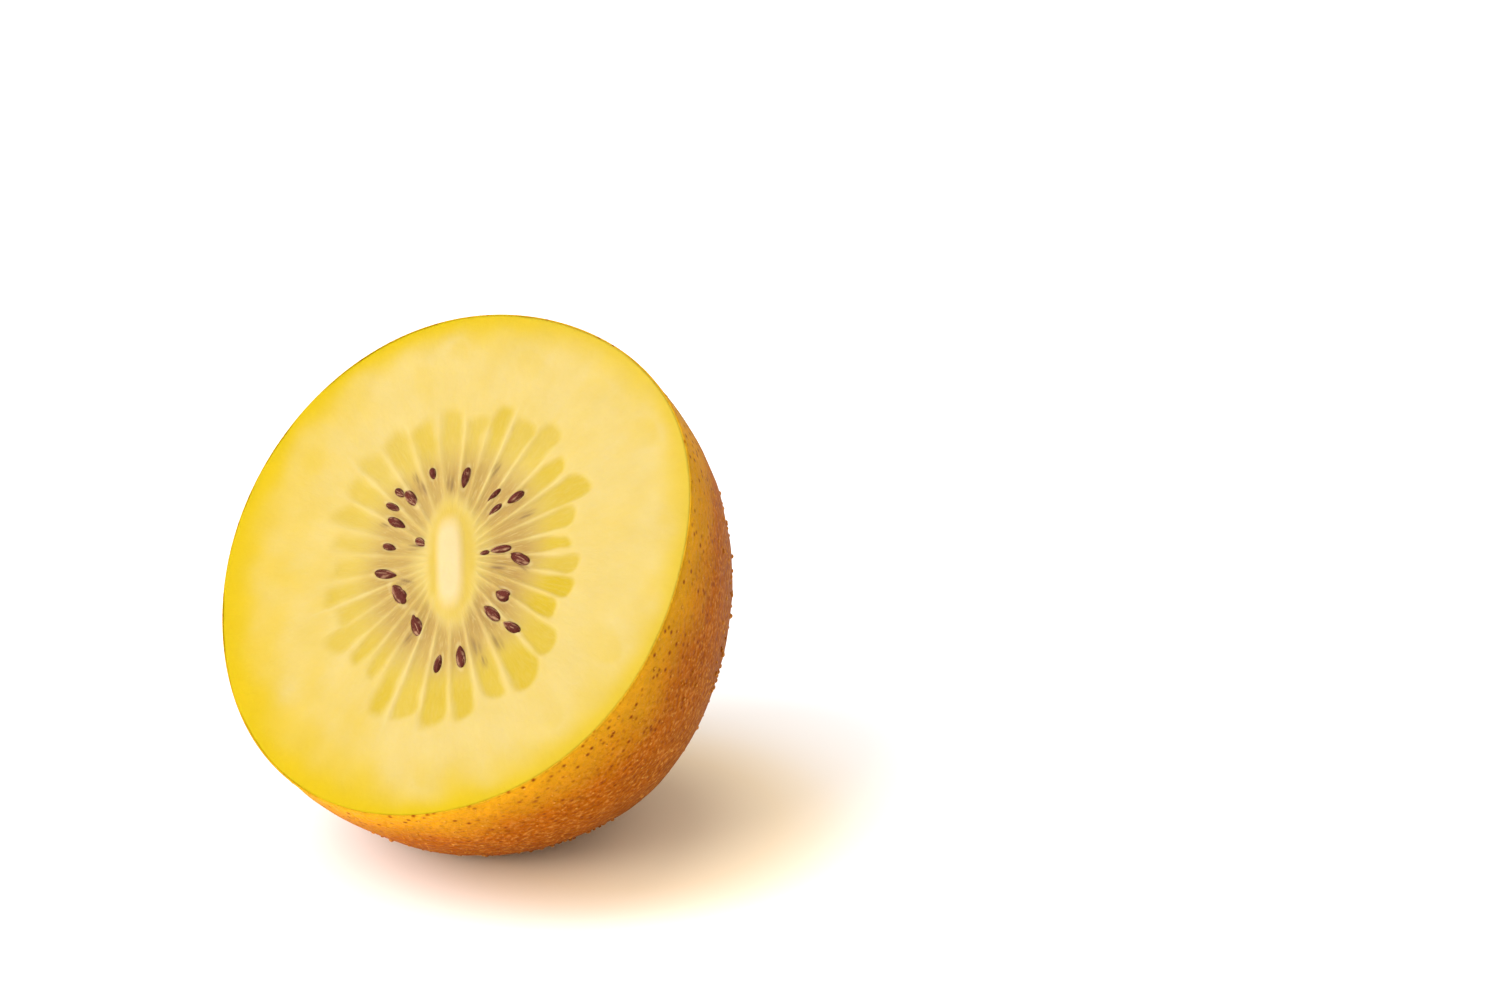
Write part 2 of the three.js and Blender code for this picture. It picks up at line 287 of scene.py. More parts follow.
# Shared group: mottle, fine grain, pits and a value for each pit, in the object's own coordinates
def surfaceGroup():
    group = bpy.data.node_groups.new("fruitGrain", "ShaderNodeTree")
    for name, value in (("Mottle Scale", 150.0), ("Grain Scale", 900.0), ("Pit Scale", 700.0)):
        socket = group.interface.new_socket(name, in_out="INPUT", socket_type="NodeSocketFloat")
        socket.default_value = value
    for name in ("Mottle", "Grain", "Pits", "Pit Value"):
        group.interface.new_socket(name, in_out="OUTPUT", socket_type="NodeSocketFloat")
    nodes, links = group.nodes, group.links
    start, end = nodes.new("NodeGroupInput"), nodes.new("NodeGroupOutput")
    where = nodes.new("ShaderNodeTexCoord").outputs["Object"]
    for kind, detail in (("Mottle", 4), ("Grain", 2)):
        noise = nodes.new("ShaderNodeTexNoise")
        noise.inputs["Detail"].default_value = detail
        links.new(where, noise.inputs["Vector"])
        links.new(start.outputs[kind + " Scale"], noise.inputs["Scale"])
        links.new(noise.outputs["Fac"], end.inputs[kind])
    pits = nodes.new("ShaderNodeTexVoronoi")
    links.new(where, pits.inputs["Vector"])
    links.new(start.outputs["Pit Scale"], pits.inputs["Scale"])
    links.new(pits.outputs["Distance"], end.inputs["Pits"])
    value = nodes.new("ShaderNodeSeparateColor")
    links.new(pits.outputs["Color"], value.inputs[0])
    links.new(value.outputs[0], end.inputs["Pit Value"])
    return group


fruitGrain = surfaceGroup()


def grainNode(nodes, mottle, grain, pits):
    node = nodes.new("ShaderNodeGroup")
    node.node_tree = fruitGrain
    for name, value in (("Mottle Scale", mottle), ("Grain Scale", grain), ("Pit Scale", pits)):
        node.inputs[name].default_value = value
    return node.outputs


def bumpNode(nodes, links, height, strength, distance):
    node = nodes.new("ShaderNodeBump")
    node.inputs["Strength"].default_value = strength
    node.inputs["Distance"].default_value = distance
    links.new(height, node.inputs["Height"])
    return node.outputs["Normal"]


# Gloss, and light that spreads under the surface, where the piece has it
def setFinish(shader, look):
    shader.inputs["Specular IOR Level"].default_value = look["gloss"]
    shader.inputs["Specular Tint"].default_value = (*look["glossTint"], 1)
    if "glow" in look:
        shader.inputs["Subsurface Weight"].default_value = look["glow"]
        shader.inputs["Subsurface Radius"].default_value = look["glowColour"]
        shader.inputs["Subsurface Scale"].default_value = look["glowReach"]


# Cut face
flesh = {
    "ringGap": 0.2,  # mm between the rings of the cut's mesh
    "columnsEach": 16,  # columns for each chamber
    "chamberStart": (2.6, 6.6),  # half-axes of the halo where the chambers begin
    "endGap": 1.6,  # from the flesh's far end to the fruit's
    "wall": 0.32,
    "sink": 0.17,
    "coreRise": 0.2,
    "blunt": 2.7,  # exponent of the chambers' round ends
    "slant": 0.65,
    "cream": (0.395, 0.300, 0.102),
    "golden": (0.386, 0.273, 0.041),
    "rim": (0.373, 0.254, 0.000),
    "lobe": (0.328, 0.222, 0.000),
    "grey": (0.244, 0.141, 0.04),
    "halo": (0.366, 0.255, 0.038),
    "core": (0.428, 0.328, 0.162),
    "wallColour": (0.404, 0.314, 0.117),
    "dim": (0.076, 0.031, 0.025),
    "fleck": (0.414, 0.317, 0.138),
    "grainScales": (260, 1300, 900),
    "bump": (0.22, 0.0002),
    "gloss": 0.12,
    "glossTint": (1.0, 0.85, 0.4),
    "glow": 0.3,
    "glowColour": (1.0, 0.6, 0.15),
    "glowReach": 0.0015,
}


def materialFlesh():
    material, nodes, links, shader = newMaterial("fleshMoist")
    names = ("lobe", "wallLine", "coreMask", "halo", "rimMask", "greyMask", "dimMask", "coat", "fibre")
    masks = {name: attributeNode(nodes, name) for name in names}
    grain = grainNode(nodes, *flesh["grainScales"])
    broad = streakNoise(nodes, links, 1.0)
    fine = streakNoise(nodes, links, 3.2, 4)
    # cream flesh, golden towards the rim and in the chambers
    veins = rampNode(nodes, links, broad, ((0.35, 0.0), (0.7, 0.5)))
    tone = mathNode(nodes, links, "ADD", masks["fibre"], timesNode(nodes, links, veins, 0.35))
    colour = mixColour(nodes, links, tone, flesh["cream"], flesh["golden"])
    colour = mixColour(nodes, links, masks["rimMask"], colour, flesh["rim"])
    streaky = rampNode(nodes, links, fine, ((0.3, 0.72), (0.7, 1.0)))
    streaky = timesNode(nodes, links, masks["lobe"], streaky)
    colour = mixColour(nodes, links, streaky, colour, flesh["lobe"])
    juice = rampNode(nodes, links, fine, ((0.3, 1.0), (0.75, 0.7)))
    juice = timesNode(nodes, links, masks["greyMask"], juice)
    colour = mixColour(nodes, links, juice, colour, flesh["grey"])
    colour = mixColour(nodes, links, masks["halo"], colour, flesh["halo"])
    # thin pale threads between the chambers and inside them
    thread = rampNode(nodes, links, fine, ((0.57, 0.0), (0.66, 1.0)))
    halfLobe = timesNode(nodes, links, masks["lobe"], 0.5)
    inside = mathNode(nodes, links, "MAXIMUM", masks["greyMask"], halfLobe)
    inside = timesNode(nodes, links, timesNode(nodes, links, thread, inside), 0.25)
    colour = mixColour(nodes, links, inside, colour, flesh["fleck"])
    colour = mixColour(nodes, links, masks["wallLine"], colour, flesh["wallColour"])
    colour = mixColour(nodes, links, masks["dimMask"], colour, flesh["dim"])
    colour = mixColour(nodes, links, masks["coat"], colour, flesh["fleck"])
    colour = mixColour(nodes, links, masks["coreMask"], colour, flesh["core"])
    mottle = rampNode(nodes, links, grain["Mottle"], ((0.3, 0.93), (0.7, 1.0)))
    colour = mixColour(nodes, links, 0.7, colour, mottle, "MULTIPLY")
    links.new(colour, shader.inputs["Base Color"])
    rough = mathNode(nodes, links, "MULTIPLY_ADD", grain["Grain"], 0.25, 0.38)
    links.new(rough, shader.inputs["Roughness"])
    offCore = mathNode(nodes, links, "SUBTRACT", 1.0, masks["coreMask"])
    height = mathNode(nodes, links, "MULTIPLY_ADD", fine, offCore, grain["Grain"])
    links.new(bumpNode(nodes, links, height, *flesh["bump"]), shader.inputs["Normal"])
    setFinish(shader, flesh)
    return material


# Directions of the chambers, and of the chamber before each
def chamberWays():
    ways = np.array([c[0] for c in chambers], float)
    before = np.roll(ways, 1)
    before[0] -= 360
    return ways, before


# The chamber each place of the cut is in, and how far it is from the walls and the chamber's outline
def chamberMasks(x, y):
    radius = np.hypot(x, y)
    angle = np.degrees(np.arctan2(y, x)) % 360
    ways, before = chamberWays()
    reach = np.array([c[1] for c in chambers])
    after = np.roll(ways, -1)
    after[-1] += 360
    middle = (before + 2 * ways + after) / 4
    halfGap = np.radians((after - before) / 4)
    gap = (angle[:, None] - middle[None, :] + 180) % 360 - 180
    share = np.abs(np.radians(gap)) / halfGap[None, :]
    which = share.argmin(1)
    side = np.radians(gap[np.arange(len(x)), which])
    fromWall = (halfGap[which] - np.abs(side)) * radius  # mm from the middle of the wall
    tip = (reach[which] * halfGap[which] - flesh["wall"] / 2) / (1 + halfGap[which])
    slant = np.random.default_rng(12).uniform(-flesh["slant"], flesh["slant"], len(chambers))[which]
    along = radius * np.cos(side) + slant * side / halfGap[which]
    across = np.abs(radius * np.sin(side))
    end = reach[which] - tip
    power = flesh["blunt"]
    blunt = (np.clip(along - end, 0, None) ** power + across ** power) ** (1 / power)
    inside = np.where(along > end, tip - blunt, fromWall - flesh["wall"] / 2)
    wallIndex = np.where(side > 0, which, (which - 1) % len(chambers))
    return {
        "radius": radius, "angle": angle, "which": which, "wallIndex": wallIndex,
        "reach": reach[which], "fromWall": fromWall, "inside": inside,
    }


def buildFlesh():
    thick = fruit["skinThick"]
    edge = fruit["meanRadius"] - thick
    rings = int(edge / flesh["ringGap"])
    profile = [(edge * i / rings, 0.0) for i in range(rings + 1)]
    falls = np.linspace(0, math.pi / 2, 26)[1:]
    power = 2 / fruit["fullness"]
    for fall in falls:
        radius = edge * max(math.cos(fall), 0) ** power
        profile.append((radius, -(fruit["halfLength"] - flesh["endGap"]) * math.sin(fall) ** power))
    profile[-1] = (0.0, profile[-1][1])
    steps = flesh["columnsEach"] * len(chambers)
    mesh = spunMesh("kiwiFlesh", profile, steps)
    places = readPlaces(mesh)
    radius, angle = np.hypot(places[:, 0], places[:, 1]), np.arctan2(places[:, 1], places[:, 0])
    # Columns follow the chambers' walls
    ways, before = chamberWays()
    walls = (ways + before) / 2
    walls = np.append(walls, walls[0] + 360)
    even = np.linspace(walls[0], walls[0] + 360, len(walls))
    degrees = (np.degrees(angle) - walls[0]) % 360 + walls[0]
    angle = np.radians(np.interp(degrees, even, walls))
    onCut = places[:, 2] > -1e-6
    places = ovalPlace(radius, angle, places[:, 2])
    masks = fleshMasks(places)
    lift = masks.pop("lift")
    places[:, 2] += np.where(onCut, lift, 0)
    row = toRow(places)
    row[:, 2] = np.maximum(row[:, 2], fruit["floorClear"])
    for name, values in masks.items():
        addMask(mesh, name, np.where(onCut, values, 0))
    streak = mesh.attributes.new("streak", "FLOAT_VECTOR", "POINT")
    spread = np.stack([14 * np.cos(angle), 14 * np.sin(angle), 0.3 * radius], -1)
    streak.data.foreach_set("vector", spread.astype(np.float32).ravel())
    writePlaces(mesh, row * mm)
    finishPiece("kiwiFlesh", mesh, materialFlesh(), ("kiwi_half",))


# Places along and across a seed, 1 at its ends and sides
def seedAxes(x, y, seedX, seedY, way, halfLength, halfWidth):
    c, s = math.cos(math.radians(way)), math.sin(math.radians(way))
    along = ((x - seedX) * c + (y - seedY) * s) / halfLength
    across = (-(x - seedX) * s + (y - seedY) * c) / halfWidth
    return along, across


# How the tints lie on the cut, lengths in mm
tintLook = {
    "haloMiddle": (0.1, -0.4),
    "haloFade": (0.8, 1.22),  # in shares of the halo's size
    "haloUneven": (0.08, 2.5),  # height and wavelength
    "fillFade": (0.9, 1.35),  # where the chambers' fill begins, in shares of the halo's size
    "fillStrength": (0.7, 1.0),
    "fillSoft": (0.16, 0.02),  # softness of the edge, and more of it for each mm outwards
    "fillPoint": (-0.25, 0.5),
    "fillThin": (0.02, 0.34),
    "fillRagged": (0.22, 2.2),  # height and wavelength
    "crispSide": 0.6,  # radians, below the right side
    "wallStrength": (0.4, 1.0),
    "wallPast": 1.5,
    "wallWidth": (0.07, 0.011),  # and more of it for each mm outwards
    "greyTall": 1.27,
    "greyStart": (3.2, 5.4),
    "greyEnd": (7.0, 11.5),
    "seedShade": 0.75,  # in seed lengths
    "coatAt": 1.15,
    "coatWidth": 0.2,
    "coatStrength": 0.55,
    "spotStrength": 0.62,
    "coreFade": (0.5, 1.25),
    "rimWidth": 2.7,
    "rimMoreLeft": 3.2,
    "rimLessRight": 0.7,
    "rimPaleRight": 0.25,
    "patchReach": 5.0,
    "patchStrength": 0.55,
}


# Fill of the chambers: how far it reaches, and the share of its colour
def fillMasks(places, cell, turn, outward, rng):
    which, radius, reach = cell["which"], cell["radius"], cell["reach"]
    crisp = np.cos(turn + tintLook["crispSide"])
    strength = rng.uniform(*tintLook["fillStrength"], len(chambers))[which] * (0.85 + 0.2 * crisp)
    softness, perMm = tintLook["fillSoft"]
    soft = (softness + perMm * radius) * (1.25 - 0.5 * crisp)
    point = rng.uniform(*tintLook["fillPoint"], len(chambers))[which]
    thin = rng.uniform(*tintLook["fillThin"], len(chambers))[which]
    taper = thin * smoothStep(7.5, 15, radius) + point * smoothStep(reach - 3.5, reach - 0.5, radius)
    height, wavelength = tintLook["fillRagged"]
    ragged = height * softNoise(places, wavelength, 6) * smoothStep(9, 14, radius)
    fill = smoothStep(-soft, soft, cell["inside"] - taper + ragged) * outward
    farShare = np.clip(radius / reach, 0, 1.3)
    colour = fill * strength * (0.25 + 0.75 * smoothStep(0.5, 0.85, farShare))
    return fill, np.clip(colour, 0, 1)


# Thin pale walls, each with its own strength and reach
def wallMask(cell, turn, oval, rng):
    wallIndex, radius, reach = cell["wallIndex"], cell["radius"], cell["reach"]
    strength = rng.uniform(*tintLook["wallStrength"], len(chambers))[wallIndex] ** 2.0
    bright = strength * (0.3 + 0.7 * smoothStep(5, 9.5, radius))
    past = tintLook["wallPast"]
    past = rng.uniform(-past, past, len(chambers))[wallIndex] + 2 * (bright > 0.8)
    bright *= 0.85 + 0.15 * np.cos(turn + tintLook["crispSide"])
    thinnest, perMm = tintLook["wallWidth"]
    width = thinnest + perMm * radius
    waver = 0.05 * np.sin(radius * 1.1 + 2.1 * wallIndex) + 0.03 * np.sin(radius * 2.7 + wallIndex)
    line = np.exp(-(((cell["fromWall"] + waver) / width) ** 2)) * bright
    line *= smoothStep(1.0, 1.6, oval) * (1 - smoothStep(reach + past - 3.5, reach + past, radius))
    return line


# Greyer juice round the seeds, and the pale skin close to each
def seedMasks(x, y, cell, turn, outward):
    ring = np.hypot(x, y / tintLook["greyTall"])
    grey = smoothStep(*tintLook["greyStart"], ring) * (1 - smoothStep(*tintLook["greyEnd"], ring))
    grey *= 0.68 + 0.32 * smoothStep(-0.1, 0.4, cell["inside"])
    near, coat = np.zeros(len(x)), np.zeros(len(x))
    for seedX, seedY, length, width, way in seeds:
        shade = (tintLook["seedShade"] * length) ** 2
        near = np.maximum(near, np.exp(-((x - seedX) ** 2 + (y - seedY) ** 2) / shade))
        along, across = seedAxes(x, y, seedX, seedY, way, length / 2, width / 2)
        off = (np.hypot(along, across) - tintLook["coatAt"]) / tintLook["coatWidth"]
        coat = np.maximum(coat, np.exp(-off ** 2) * (0.5 + 0.5 * np.sin(3 * across + seedX)))
    grey = np.clip(grey * 0.9 + 0.35 * near, 0, 1) * outward * (0.9 + 0.1 * np.cos(turn + 0.5))
    return grey * 0.95, tintLook["coatStrength"] * coat


# Seeds that only show dimly
def spotMask(x, y):
    spots = np.zeros(len(x))
    for spotX, spotY, length, way in dimSeeds:
        along, across = seedAxes(x, y, spotX, spotY, way, length / 2, length / 5)
        streak = 0.6 + 0.4 * np.sin(5 * across + 2 * along)
        blob = np.exp(-((along ** 2 + across ** 2) ** 1.4))
        spots = np.maximum(spots, blob * streak * tintLook["spotStrength"])
    return spots


# Saturated rim, broad on the left and narrow on the right, with patches inside it
def rimShare(places, turn, fromEdge, blotch):
    left, right = np.clip(-np.cos(turn - 0.25), 0, 1), np.clip(np.cos(turn), 0, 1)
    broad = tintLook["rimWidth"] + tintLook["rimMoreLeft"] * left ** 1.3
    broad -= tintLook["rimLessRight"] * right ** 2
    broad = broad + 0.35 * np.sin(5 * turn + 1) + 0.25 * np.sin(11 * turn)
    rim = np.exp(-((np.clip(fromEdge, 0, None) / (broad * (1 + 0.3 * blotch))) ** 2.0))
    nearEdge = np.exp(-((fromEdge / tintLook["patchReach"]) ** 2))
    patches = smoothStep(0.0, 0.9, softNoise(places, 5.0, 15)) * nearEdge
    return np.maximum(rim, tintLook["patchStrength"] * patches) * (1 - tintLook["rimPaleRight"] * right)


# Shares of each tint on the cut, and how far each place of it lies over or under the plane
def fleshMasks(places):
    x, y = places[:, 0], places[:, 1]
    cell = chamberMasks(x, y)
    radius, turn = cell["radius"], np.radians(cell["angle"])
    rng = np.random.default_rng(11)
    startX, startY = flesh["chamberStart"]
    middleX, middleY = tintLook["haloMiddle"]
    oval = np.hypot((x - middleX) / startX, (y - middleY) / startY)  # 1 at the halo's edge
    outward = smoothStep(*tintLook["fillFade"], oval)
    fill, fillColour = fillMasks(places, cell, turn, outward, rng)
    line = wallMask(cell, turn, oval, rng)
    grey, coat = seedMasks(x, y, cell, turn, outward)
    coreX, coreY = (x - core["x"]) / core["halfWidth"], (y - core["y"]) / core["halfLength"]
    coreOval = (np.abs(coreX) ** 2.6 + np.abs(coreY) ** 4) ** (1 / 2.6)
    coreMask = 1 - smoothStep(*tintLook["coreFade"], coreOval)
    height, wavelength = tintLook["haloUneven"]
    halo = 1 - smoothStep(*tintLook["haloFade"], oval - height * softNoise(places, wavelength, 9))
    # unevenness of the flesh: broad, in blotches, and in streaks from the middle outwards
    rough = softNoise(places, 9.0, 3)
    blotch = softNoise(places, 4.5, 4)
    ways = np.stack([np.cos(turn) * 60, np.sin(turn) * 60, radius * 1.2], -1)
    streaks = softNoise(ways, 7.0, 5, 24)
    fromEdge = outlineRadius(turn) - fruit["skinThick"] - radius
    towardsLeft = 0.3 * smoothStep(0, 26, -x)
    fibre = np.clip(0.1 + 0.1 * rough + 0.08 * blotch + 0.06 * streaks + towardsLeft, 0, 1)
    lift = -flesh["sink"] * fill * smoothStep(0.9, 1.3, oval)
    combed = 0.02 * streaks * smoothStep(3, 7, radius)
    lift += flesh["coreRise"] * coreMask + 0.04 * line + combed + 0.05 * rough
    lift -= 0.02 * np.exp(-np.clip(fromEdge, 0, None) / 0.4)
    return {
        "lobe": fillColour, "wallLine": np.clip(line, 0, 1), "coreMask": coreMask, "halo": halo * 0.9,
        "rimMask": rimShare(places, turn, fromEdge, blotch), "greyMask": grey, "dimMask": spotMask(x, y),
        "coat": coat, "fibre": fibre, "lift": lift,
    }


# Skin
skin = {
    "columns": 360,
    "rows": 120,
    "ring": ((7.5, 0), (7.3, 0.18), (7.1, 0.4), (6.85, 0.62), (6.6, 0.75), (6.35, 0.81), (6.1, 0.8),
             (5.85, 0.68), (5.65, 0.5), (5.45, 0.1), (5.35, -0.2), (5.2, -0.5), (5.0, -0.7),
             (4.4, -0.76), (3.6, -0.78), (2.5, -0.8), (1.3, -0.8)),
    # golden: painted glow of light through the flesh by the cut; ochre and brown: the skin's own colour,
    # darker partly as painted shade
    "golden": (0.675, 0.290, 0.006),
    "ochre": (0.410, 0.100, 0.000),
    "brown": (0.260, 0.068, 0.005),
    "tan": (0.420, 0.215, 0.070),
    "edge": (0.470, 0.235, 0.008),
    "speck": (0.220, 0.045, 0.002),
    # light: painted highlight colour of the pale grains, dots and bump tips; crease: painted shade in the
    # grain's valleys
    "light": (0.660, 0.290, 0.065),
    "crease": (0.210, 0.040, 0.001),
    "endGap": 1.45,  # from the far end of the skin's inner side to the fruit's
    "lip": ((1.0, -0.03), (0.8, 0.0), (0.3, -0.01)),  # share of the thickness inwards, and height
    "lipDrop": -0.08,
    "plainEnd": (29.5, 30.8),  # depths between which the unevenness fades out
    "grainScales": (110, 1500, 1000),
    "fineScales": (420, 1900, 1500),
    "bump": (0.8, 0.0003),
    "gloss": 0.03,
    "glossTint": (1.0, 0.6, 0.25),
    "glow": 0.12,
    "glowColour": (1.0, 0.4, 0.1),
    "glowReach": 0.0012,
}
bumps = {
    "large": 110,
    "radius": 0.42,
    "height": 0.28,
    "count": 1250,  # small ones
    "fineRadius": (0.26, 0.04),  # times the size, and added
    "fineHeight": (0.11, 0.01),
    "span": (0.02, 0.93),  # start and length along the depth, in shares of it
    "fineSpan": (0.004, 0.95),
    "growth": (4, 16),  # they grow between these depths
    "stretch": (0.8, 1.25),
    "root": 0.08,
    "clear": 0.4,  # none is this close to the floor
    "seed": 7,
    "fineSeed": 47,
}


def materialSkin(name, paintedTipHighlight):
    material, nodes, links, shader = newMaterial(name)
    depth = attributeNode(nodes, "depth")
    endMask = attributeNode(nodes, "ringMask")
    grain = grainNode(nodes, *skin["grainScales"])
    fine = grainNode(nodes, *skin["fineScales"])
    # golden by the cut, a painted glow of light through the flesh, then ochre and brown farther down, the
    # skin's own colour made darker partly as painted shade of the underside, with an uneven change between
    # them
    patchy = mathNode(nodes, links, "MULTIPLY_ADD", grain["Mottle"], 0.22, -0.11)
    finePatchy = mathNode(nodes, links, "MULTIPLY_ADD", fine["Mottle"], 0.12, -0.06)
    patchy = mathNode(nodes, links, "ADD", patchy, finePatchy)
    offEdge = rampNode(nodes, links, depth, ((0.02, 0.0), (0.12, 1.0)))
    stops = ((0.0, skin["edge"]), (0.008, skin["golden"]), (0.025, skin["golden"]), (0.24, skin["ochre"]),
             (0.66, skin["brown"]))
    colour = rampNode(nodes, links, mathNode(nodes, links, "MULTIPLY_ADD", patchy, offEdge, depth), stops)
    mottle = rampNode(nodes, links, fine["Mottle"], ((0.35, 0.78), (0.65, 1.0)))
    colour = mixColour(nodes, links, 0.8, colour, mottle, "MULTIPLY")
    colour = mixColour(nodes, links, endMask, colour, skin["tan"])
    # fine crinkles all over: dark creases, painted shade in the valleys of the grain, and pale grains and
    # dots, painted highlights on the fine fuzz
    below = rampNode(nodes, links, depth, ((0.03, 0.1), (0.3, 1.0)))
    crease = rampNode(nodes, links, fine["Grain"], ((0.34, 0.65), (0.46, 0.0)))
    colour = mixColour(nodes, links, timesNode(nodes, links, crease, below), colour, skin["crease"])
    grainHighlights = rampNode(nodes, links, fine["Grain"], ((0.53, 0.0), (0.68, 0.45)))
    dotHighlights = rampNode(nodes, links, fine["Pits"], ((0.06, 0.45), (0.3, 0.0)))
    pale = timesNode(nodes, links, mathNode(nodes, links, "MAXIMUM", grainHighlights, dotHighlights), below)
    colour = mixColour(nodes, links, pale, colour, skin["light"])
    # painted highlight: the bumps' tops are mixed towards the pale colour
    if paintedTipHighlight:
        colour = mixColour(nodes, links, attributeNode(nodes, "tip"), colour, skin["light"])
    else:
        speck = rampNode(nodes, links, grain["Pits"], ((0.1, 1.0), (0.32, 0.0)))
        some = rampNode(nodes, links, grain["Pit Value"], ((0.0, 0.0), (0.45, 1.0)))
        colour = mixColour(nodes, links, timesNode(nodes, links, speck, some), colour, skin["speck"])
    links.new(colour, shader.inputs["Base Color"])
    rough = mathNode(nodes, links, "MULTIPLY_ADD", fine["Grain"], 0.4, 0.4)
    links.new(rough, shader.inputs["Roughness"])
    height = mathNode(nodes, links, "SUBTRACT", fine["Grain"], timesNode(nodes, links, fine["Pits"], 0.6))
    links.new(bumpNode(nodes, links, height, *skin["bump"]), shader.inputs["Normal"])
    setFinish(shader, skin)
    return material


def buildSkin():
    power = 2 / fruit["fullness"]
    ringEdge = skin["ring"][0][0]
    widest = math.acos((ringEdge / fruit["meanRadius"]) ** (1 / power))
    thick = fruit["skinThick"]
    outer = []
    for row in range(skin["rows"] + 1):
        fall = widest * row / skin["rows"]
        radius = fruit["meanRadius"] * math.cos(fall) ** power
        outer.append((radius, -fruit["halfLength"] * math.sin(fall) ** power))
    end = [(radius, -float(skinDepth(radius)) - rise) for radius, rise in skin["ring"][1:]]
    end.append((0.0, -fruit["halfLength"] + fruit["hollow"]))
    inner = []
    for fall in np.linspace(math.pi / 2, 0, 24):
        inner.append(((fruit["meanRadius"] - thick) * max(math.cos(fall), 0) ** power,
                      -(fruit["halfLength"] - skin["endGap"]) * math.sin(fall) ** power))
    inner[0] = (0.0, inner[0][1])
    lip = [(fruit["meanRadius"] - share * thick, height) for share, height in skin["lip"]]
    outer[0] = (outer[0][0], skin["lipDrop"])
    profile = inner + lip + outer + end
    mesh = spunMesh("kiwiSkin", profile, skin["columns"])
    places = readPlaces(mesh)
    radius, angle = np.hypot(places[:, 0], places[:, 1]), np.arctan2(places[:, 1], places[:, 0])
    places = ovalPlace(radius, angle, places[:, 2])
    depth = -places[:, 2]
    outside = radius > skinRadius(np.clip(depth, 0, fruit["halfLength"])) - 0.2
    uneven = 0.1 * softNoise(places, 14, 21) + 0.05 * softNoise(places, 4.5, 22)
    fade = smoothStep(0.0, 3.0, depth) * (1 - smoothStep(*skin["plainEnd"], depth)) * outside
    out = places / np.linalg.norm(places, axis=1, keepdims=True).clip(1e-6)
    places += out * (uneven * fade)[:, None]
    addMask(mesh, "depth", np.clip(depth / fruit["halfLength"], 0, 1))
    addMask(mesh, "ringMask", (1 - smoothStep(7.4, 8.4, radius)) * (depth > 25))
    row = toRow(places)
    floorGap = np.where(outside | (depth > skin["plainEnd"][1]), 0.0, 0.4)
    row[:, 2] = np.maximum(row[:, 2], floorGap)
    writePlaces(mesh, row * mm)
    finishPiece("kiwiSkin", mesh, materialSkin("skinSatin", False), ("kiwi_half",))


def skinNormal(radius, angle, depth):
    step = 0.01
    here = ovalPlace(radius, angle, -depth)
    aside = ovalPlace(radius, angle + step, -depth) - here
    down = ovalPlace(skinRadius(depth + step), angle, -depth - step) - here
    out = np.cross(down, aside)
    return out / np.linalg.norm(out)


# Small round bumps: the large ones of the solids, and finer ones between them
def bumpList():
    goldenAngle = math.pi * (3 - math.sqrt(5))
    found = []
    draw = seededDraw(bumps["seed"])
    start, length = bumps["span"]
    for i in range(bumps["large"]):
        depth = fruit["halfLength"] * (start + length * (i + draw()) / bumps["large"])
        angle = i * goldenAngle + 0.06 * draw()
        size = (0.75 + 0.4 * draw()) * (0.3 + 0.4 * smoothStep(*bumps["growth"], depth))
        found.append((depth, angle, size * bumps["radius"], size * bumps["height"]))
    draw = seededDraw(bumps["fineSeed"])
    start, length = bumps["fineSpan"]
    for i in range(bumps["count"]):
        depth = fruit["halfLength"] * (start + length * (i + draw()) / bumps["count"])
        angle = i * goldenAngle + 0.12 * (draw() - 0.5)
        size = (0.35 + 0.65 * draw() ** 1.6) * (0.6 + 0.4 * smoothStep(*bumps["growth"], depth))
        wide, tall = (share * size + least for share, least in (bumps["fineRadius"], bumps["fineHeight"]))
        found.append((depth, angle, wide, tall))
    return found


# One shape copied over and over, doubling until there are enough
def copiesMesh(name, shape, count):
    each = len(shape.vertices)
    bm = bmesh.new()
    bm.from_mesh(shape)
    made = 1
    while made < count:
        more = min(made, count - made)
        bm.verts.ensure_lookup_table()
        verts = bm.verts[:more * each]
        chosen = set(verts)
        edges = [e for e in bm.edges if e.verts[0] in chosen]
        faces = [f for f in bm.faces if f.verts[0] in chosen]
        bmesh.ops.duplicate(bm, geom=verts + edges + faces)
        made += more
    mesh = bpy.data.meshes.new(name)
    bm.to_mesh(mesh)
    bm.free()
    return mesh, each


def domeShape():
    bm = bmesh.new()
    bmesh.ops.create_uvsphere(bm, u_segments=9, v_segments=6, radius=1)
    return smoothMesh(bm, "dome")


